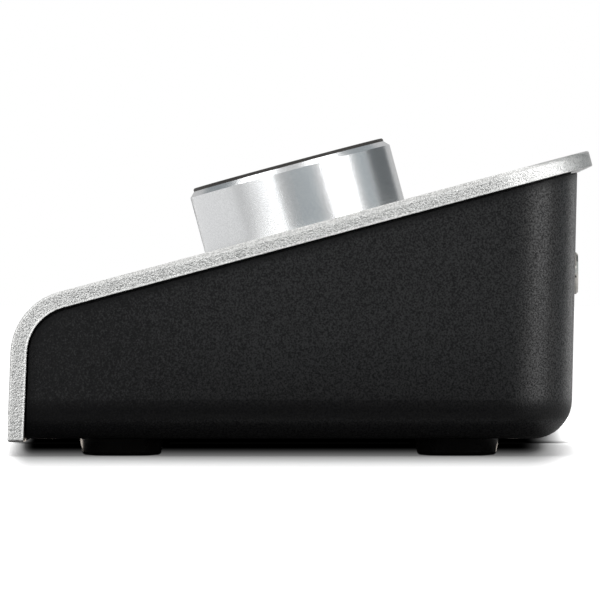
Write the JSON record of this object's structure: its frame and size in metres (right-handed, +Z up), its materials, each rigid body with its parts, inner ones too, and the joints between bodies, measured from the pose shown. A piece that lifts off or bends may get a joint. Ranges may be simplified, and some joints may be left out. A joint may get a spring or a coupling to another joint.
{
  "type": "desktop audio interface",
  "caption": "Wedge-shaped desktop audio interface with a bent metal plate over a black housing, one large push-and-turn knob, display windows, touch pads and a rear socket panel.",
  "frame": {"origin": "on the table, under the middle of the whole object", "axes": "+X to the user's right, +Y to the rear where the sockets are, +Z up; the front is at -Y"},
  "size_m": [0.267, 0.1273, 0.0707],
  "materials": {
    "plate_aluminium": "bead-blasted and clear anodised",
    "knob_aluminium": "fine turned and polished",
    "knob_cap_black": "satin, moulded",
    "tinted_glass": "gloss, dark tinted",
    "display_plastic": "gloss, dark",
    "lens_plastic": "gloss, moulded",
    "housing_plastic": "fine spark-eroded texture",
    "panel_coating": "matt powder coat on steel sheet",
    "foot_rubber": "matt, moulded",
    "moulded_black": "moulded, glass-filled",
    "bright_nickel": "nickel-plated, turned",
    "turned_brass": "turned, plated",
    "screw_steel": "zinc-plated",
    "black_steel": "black oxide",
    "socket_steel": "tin-plated sheet",
    "tongue_plastic": "moulded",
    "board_laminate": "green solder resist on laminate",
    "relay_plastic": "moulded",
    "capacitor_aluminium": "sleeved",
    "ribbon_plastic": "extruded"
  },
  "bodies": {
    "case": {"top_panel": "plate_aluminium", "display_glass_left": "tinted_glass", "display_glass_right": "tinted_glass", "display_module_left": "display_plastic", "display_module_right": "display_plastic", "touch_pad_lenses": "lens_plastic", "control_board": "board_laminate", "control_board_screws": "screw_steel", "encoder_body": "moulded_black", "encoder_washer": "screw_steel", "encoder_nut": "screw_steel", "lower_housing": "housing_plastic", "housing_screws": "black_steel", "main_board": "board_laminate", "main_board_screws": "screw_steel", "rear_panel": "panel_coating", "rear_panel_screws": "black_steel", "line_jack_bodies": "moulded_black", "line_jack_collars": "bright_nickel", "headphone_bezel": "moulded_black", "headphone_jack_body": "moulded_black", "headphone_jack_collar": "bright_nickel", "combo_shells": "moulded_black", "combo_inserts": "moulded_black", "combo_contacts": "turned_brass", "output_board": "board_laminate", "output_board_spacers": "turned_brass", "output_board_screws": "screw_steel", "dc_jack_body": "moulded_black", "dc_jack_pin": "bright_nickel", "usb_b_shell": "socket_steel", "usb_b_tongue": "tongue_plastic", "usb_a_shell": "socket_steel", "usb_a_tongue": "tongue_plastic", "optical_housings": "moulded_black", "shield_can": "socket_steel", "chips": "moulded_black", "relays": "relay_plastic", "capacitors": "capacitor_aluminium", "board_connectors": "tongue_plastic", "ribbon_cable": "ribbon_plastic", "foot_front_left": "foot_rubber", "foot_rear_left": "foot_rubber", "foot_front_right": "foot_rubber", "foot_rear_right": "foot_rubber"},
    "push_switch": {"encoder_plunger": "moulded_black"},
    "knob": {"encoder_shaft": "turned_brass", "knob_hub": "moulded_black", "knob_clip": "screw_steel", "knob_shell": "knob_aluminium", "knob_cap": "knob_cap_black"},
    "shutter_1": {"optical_shutter_1": "moulded_black"},
    "shutter_2": {"optical_shutter_2": "moulded_black"}
  },
  "joints": [
    {"name": "knob_press", "type": "slide", "parent": "case", "child": "push_switch", "axis": [0, 0.2588, -0.9659], "range_m": [0, 0.0005], "stiffness_N_per_m": 3000, "springref_m": -0.0005},
    {"name": "knob_turn", "type": "hinge", "parent": "push_switch", "child": "knob", "pos_m": [0, 0.0011, 0.0501], "axis": [0, -0.2588, 0.9659], "continuous": true},
    {"name": "optical_shutter_1_swing", "type": "hinge", "parent": "case", "child": "shutter_1", "pos_m": [0.021, 0.05597, 0.02445], "axis": [-1, 0, 0], "range_deg": [0, 80], "stiffness_Nm_per_rad": 0.00005, "springref_deg": -28.65},
    {"name": "optical_shutter_2_swing", "type": "hinge", "parent": "case", "child": "shutter_2", "pos_m": [0.038, 0.05597, 0.02445], "axis": [-1, 0, 0], "range_deg": [0, 80], "stiffness_Nm_per_rad": 0.00005, "springref_deg": -28.65}
  ]
}
